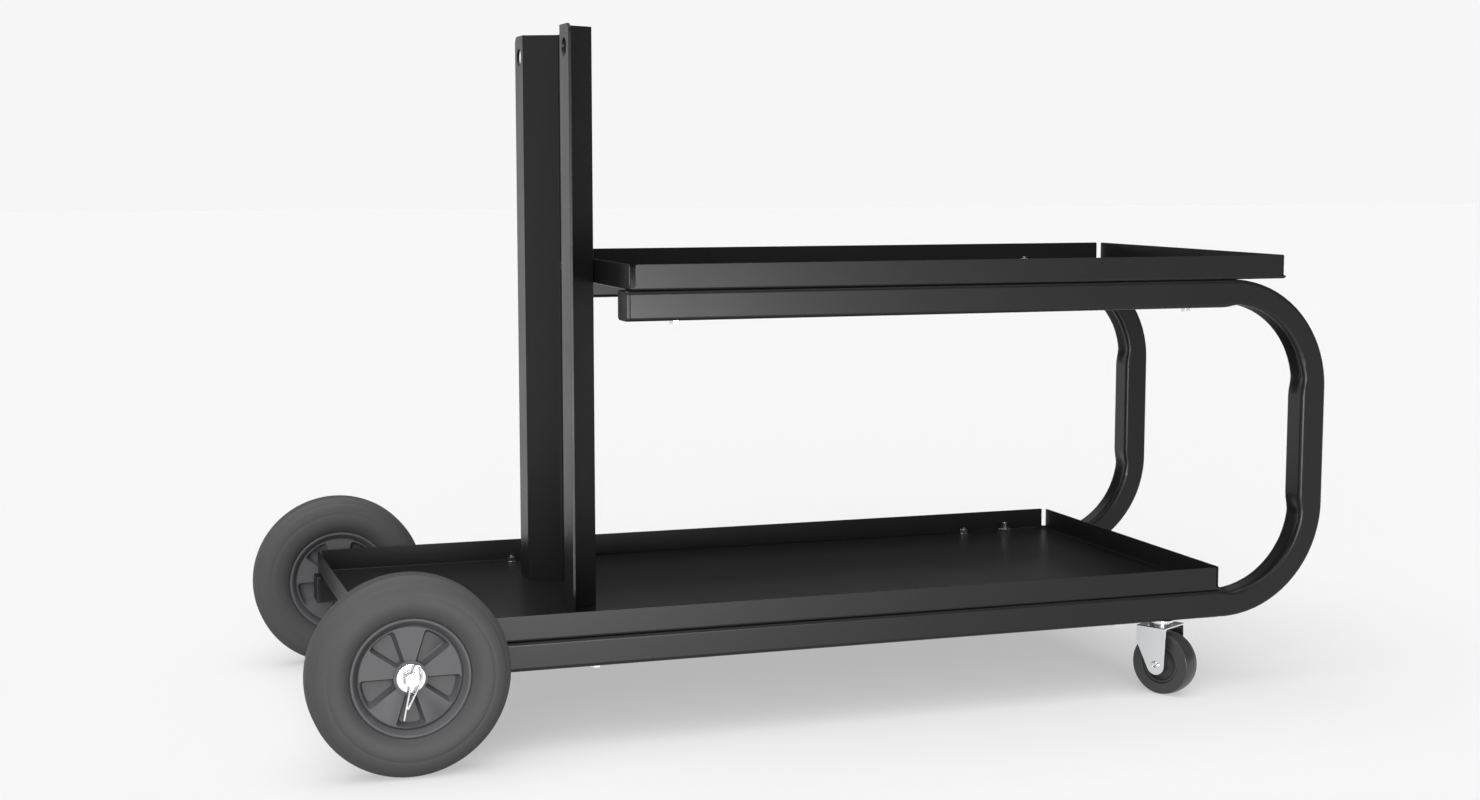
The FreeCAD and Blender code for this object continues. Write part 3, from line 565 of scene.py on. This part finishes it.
def pale_world(background, dark, ambient):
    """Pale backdrop and plain even light; mirrored rays also meet a dark ceiling and screen."""
    world = bpy.data.worlds.new("pale_studio")
    bpy.context.scene.world = world
    world.use_nodes = True
    tree = world.node_tree
    direction = add_node(tree, "ShaderNodeTexCoord").outputs["Generated"]
    parts = add_node(tree, "ShaderNodeSeparateXYZ", [("Vector", direction)])
    ceiling = add_node(tree, "ShaderNodeMapRange", [("Value", parts.outputs["Z"])],
                       interpolation_type="SMOOTHSTEP",
                       From_Min=CEILING_EDGE[0], From_Max=CEILING_EDGE[1])
    towards = add_node(tree, "ShaderNodeVectorMath", [(0, direction)], operation="DOT_PRODUCT")
    towards.inputs[1].default_value = SCREEN_DIRECTION
    screen = add_node(tree, "ShaderNodeMapRange", [("Value", towards.outputs["Value"])],
                      interpolation_type="SMOOTHSTEP",
                      From_Min=SCREEN_EDGE[0], From_Max=SCREEN_EDGE[1])
    screened = add_node(tree, "ShaderNodeMath", [(0, ceiling.outputs["Result"]),
                                                 (1, screen.outputs["Result"])],
                        operation="MAXIMUM")
    mirrored_ray = add_node(tree, "ShaderNodeLightPath").outputs["Is Glossy Ray"]
    darkness = add_node(tree, "ShaderNodeMath", [(0, screened.outputs[0]), (1, mirrored_ray)],
                        operation="MULTIPLY")
    shade = add_node(tree, "ShaderNodeMix", [("Factor", darkness.outputs[0])], data_type="RGBA")
    shade.inputs["A"].default_value = linear(background)
    shade.inputs["B"].default_value = linear(dark)
    shown = tree.nodes["Background"]
    tree.links.new(shade.outputs["Result"], shown.inputs["Color"])
    fill = add_node(tree, "ShaderNodeBackground", Strength=ambient)
    mix = add_node(tree, "ShaderNodeMixShader", [(0, seen_directly(tree)), (1, fill.outputs[0]),
                                                 (2, shown.outputs[0])])
    tree.links.new(mix.outputs[0], tree.nodes["World Output"].inputs["Surface"])


def studio_paper(shade, bounced):
    """Matt background paper: pale where it is seen, greyer where it throws light back."""
    material = bpy.data.materials.new("studio_paper")
    material.use_nodes = True
    tree = material.node_tree
    seen = seen_directly(tree)
    even = add_node(tree, "ShaderNodeEmission")
    even.inputs["Color"].default_value = linear(shade)
    share = add_node(tree, "ShaderNodeMath", [(0, seen)], operation="MULTIPLY")
    share.inputs[1].default_value = PAPER_GLOW
    paper = add_node(tree, "ShaderNodeMix", [("Factor", seen)], data_type="RGBA")
    paper.inputs["A"].default_value = linear(bounced)
    paper.inputs["B"].default_value = linear(shade)
    matt = add_node(tree, "ShaderNodeBsdfDiffuse", [("Color", paper.outputs["Result"])])
    mix = add_node(tree, "ShaderNodeMixShader", [(0, share.outputs[0]), (1, matt.outputs[0]),
                                                 (2, even.outputs[0])])
    tree.links.new(mix.outputs[0], tree.nodes["Material Output"].inputs["Surface"])
    return material


class CART_OT_stage(CartOperator, bpy.types.Operator):
    """Sets the floor, lights and camera"""
    bl_idname = "cart.stage"
    bl_label = "Stage"

    def execute(self, context):
        scene = context.scene
        stage, colours = scene.cart_stage, scene.cart_colours
        scene.view_settings.view_transform = "Standard"
        bpy.ops.object.select_all(action="DESELECT")
        bpy.ops.mesh.primitive_plane_add(size=stage.floor_size)
        floor = context.object
        floor.name = "studio_floor"
        floor.data.materials.append(studio_paper(colours.background, colours.bounced))
        pale_world(colours.background, colours.ceiling, stage.ambient)
        wide_light("overhead_light", stage.overhead, stage.overhead_spread, OVERHEAD_TILT)
        front = wide_light("front_light", stage.front, stage.front_spread,
                           FRONT_DIRECTION.to_track_quat("-Z", "Y").to_euler())
        front.visible_glossy = False
        gloss_softbox("left_softbox", SOFTBOX_PLACE, SOFTBOX_TARGET, SOFTBOX_SIZE, stage.softbox)
        camera = bpy.data.cameras.new("camera")
        camera.lens = stage.lens
        eye = bpy.data.objects.new("camera", camera)
        eye.location = stage.camera_place
        eye.rotation_euler = (math.pi / 2 - stage.dip, 0, -stage.heading)
        scene.collection.objects.link(eye)
        scene.camera = eye
        return {"FINISHED"}


class CART_PT_looks(bpy.types.Panel):
    """Lists the operators that dress the cart"""
    bl_label = "Welding cart"
    bl_idname = "CART_PT_looks"
    bl_space_type = "VIEW_3D"
    bl_region_type = "UI"
    bl_category = "Welding cart"

    def draw(self, context):
        for operator in OPERATORS:
            self.layout.operator(operator.bl_idname)


OPERATORS = (
    CART_OT_side_tubes, CART_OT_trays, CART_OT_tube_plugs, CART_OT_screws, CART_OT_rear_axle,
    CART_OT_rear_hubs, CART_OT_rear_tyres, CART_OT_casters, CART_OT_caster_wheels, CART_OT_stage,
)
SETTINGS = {"cart_colours": CartColours, "cart_sizes": CartSizes, "cart_stage": CartStage}


def register():
    for cls in (*SETTINGS.values(), *OPERATORS, CART_PT_looks):
        bpy.utils.register_class(cls)
    for name, group in SETTINGS.items():
        setattr(bpy.types.Scene, name, bpy.props.PointerProperty(type=group))


def unregister():
    for name in SETTINGS:
        delattr(bpy.types.Scene, name)
    for cls in (CART_PT_looks, *reversed(OPERATORS), *reversed(tuple(SETTINGS.values()))):
        bpy.utils.unregister_class(cls)


def main():
    register()
    bpy.ops.cart.side_tubes()
    bpy.ops.cart.trays()
    bpy.ops.cart.tube_plugs()
    bpy.ops.cart.screws()
    bpy.ops.cart.rear_axle()
    bpy.ops.cart.rear_hubs()
    bpy.ops.cart.rear_tyres()
    bpy.ops.cart.casters()
    bpy.ops.cart.caster_wheels()
    bpy.ops.cart.stage()


if __name__ == "__main__":
    main()
